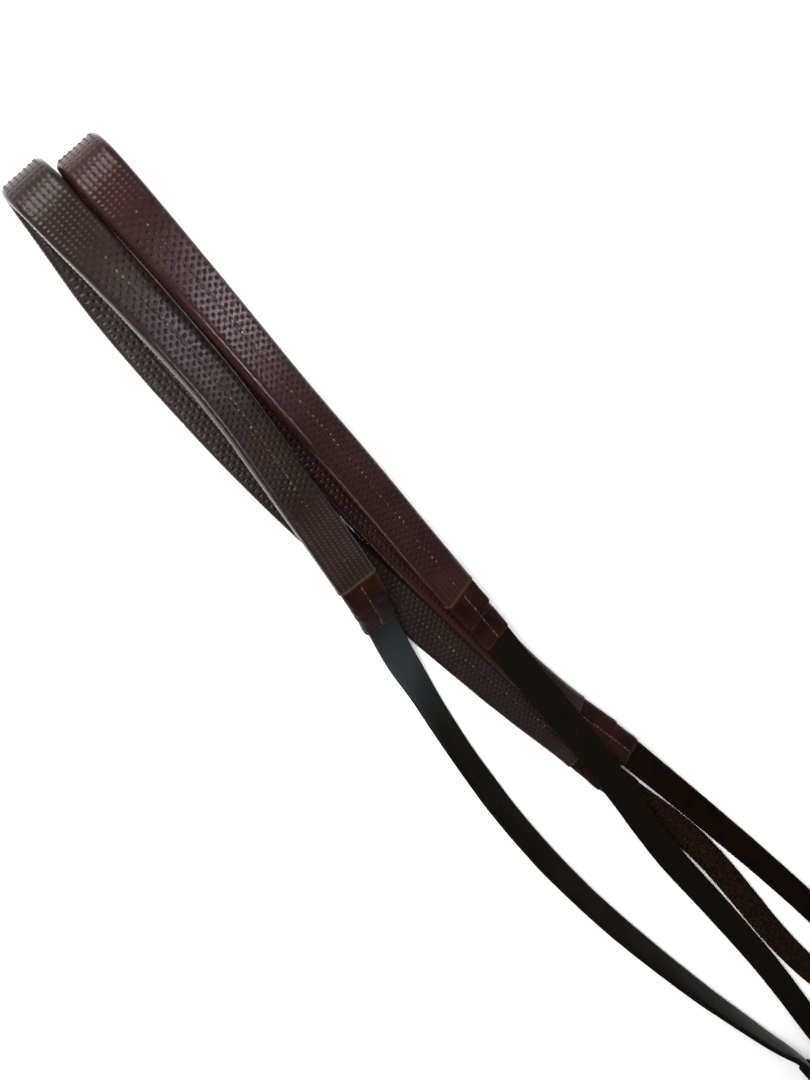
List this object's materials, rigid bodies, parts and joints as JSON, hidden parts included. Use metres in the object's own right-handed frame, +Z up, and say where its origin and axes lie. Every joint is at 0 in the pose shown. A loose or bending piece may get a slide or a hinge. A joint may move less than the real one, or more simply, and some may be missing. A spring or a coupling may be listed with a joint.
{
  "type": "pair of rubber-grip snaffle reins",
  "caption": "Pair of leather snaffle reins with pimpled rubber grips, each folded double in its grip, with hook-stud billets for the bit and a centre buckle joining the hand ends.",
  "frame": {"origin": "middle of the bounding box, at the surface the reins lie on", "axes": "+X runs along the straps from the folds of the grips to the bit and buckle ends, +Z is up, +Y is to the left of +X, on the right rein's side"},
  "size_m": [0.9102, 0.1106, 0.0337],
  "materials": {
    "left_rubber": "pimpled, slight sheen, grey-brown",
    "right_rubber": "pimpled, slight sheen, red-brown",
    "strap_leather": "smooth grain, near-black brown",
    "hand_leather": "smooth grain and flesh side, dark brown",
    "cap_leather": "smooth grain, dark chestnut",
    "thread": "waxed thread, faded tan",
    "steel": "polished stainless steel"
  },
  "bodies": {
    "root": {"buckle_chape": "hand_leather", "buckle_keeper": "hand_leather", "chape_stitching": "thread", "left_hand_strap": "hand_leather", "right_hand_strap": "hand_leather", "left_bit_cap": "cap_leather", "left_hand_cap": "cap_leather", "left_grip_rubber": "left_rubber", "left_grip_core": "strap_leather", "left_grip_stitching": "thread", "left_cap_stitching": "thread", "right_bit_cap": "cap_leather", "right_hand_cap": "cap_leather", "right_grip_rubber": "right_rubber", "right_grip_core": "strap_leather", "right_grip_stitching": "thread", "right_cap_stitching": "thread"},
    "left_bit_end": {"left_bit_strap": "strap_leather", "left_bit_billet": "strap_leather", "left_hook_stud": "steel", "left_tip_keeper": "strap_leather"},
    "left_loop": {"left_billet_loop": "strap_leather"},
    "right_bit_end": {"right_bit_strap": "strap_leather", "right_bit_billet": "strap_leather", "right_hook_stud": "steel", "right_tip_keeper": "strap_leather"},
    "right_loop": {"right_billet_loop": "strap_leather"},
    "frame": {"buckle_frame": "steel"},
    "tongue": {"buckle_tongue": "steel"},
    "loop": {"running_loop": "hand_leather"}
  },
  "joints": [
    {"name": "left_bit_flex", "type": "hinge", "parent": "root", "child": "left_bit_end", "pos_m": [-0.20778, -0.01011, 0.01923], "axis": [-0.2001, -0.9775, 0.067], "range_deg": [0, 25]},
    {"name": "left_loop_slide", "type": "slide", "parent": "left_bit_end", "child": "left_loop", "axis": [1, 0, 0], "range_m": [-0.005, 0.005]},
    {"name": "right_bit_flex", "type": "hinge", "parent": "root", "child": "right_bit_end", "pos_m": [-0.15388, 0.02362, 0.01763], "axis": [-0.079, -0.951, 0.299], "range_deg": [0, 25]},
    {"name": "right_loop_slide", "type": "slide", "parent": "right_bit_end", "child": "right_loop", "axis": [1, 0, 0], "range_m": [-0.005, 0.005]},
    {"name": "buckle_swing", "type": "hinge", "parent": "root", "child": "frame", "pos_m": [0.295, 0.0435, 0.00485], "axis": [0, -1, 0], "range_deg": [0, 10]},
    {"name": "tongue_lift", "type": "hinge", "parent": "frame", "child": "tongue", "pos_m": [0.295, 0.0435, 0.00485], "axis": [0, -1, 0], "range_deg": [0, 8]},
    {"name": "running_loop_slide", "type": "slide", "parent": "root", "child": "loop", "axis": [1, 0, 0], "range_m": [-0.008, 0.008]}
  ]
}
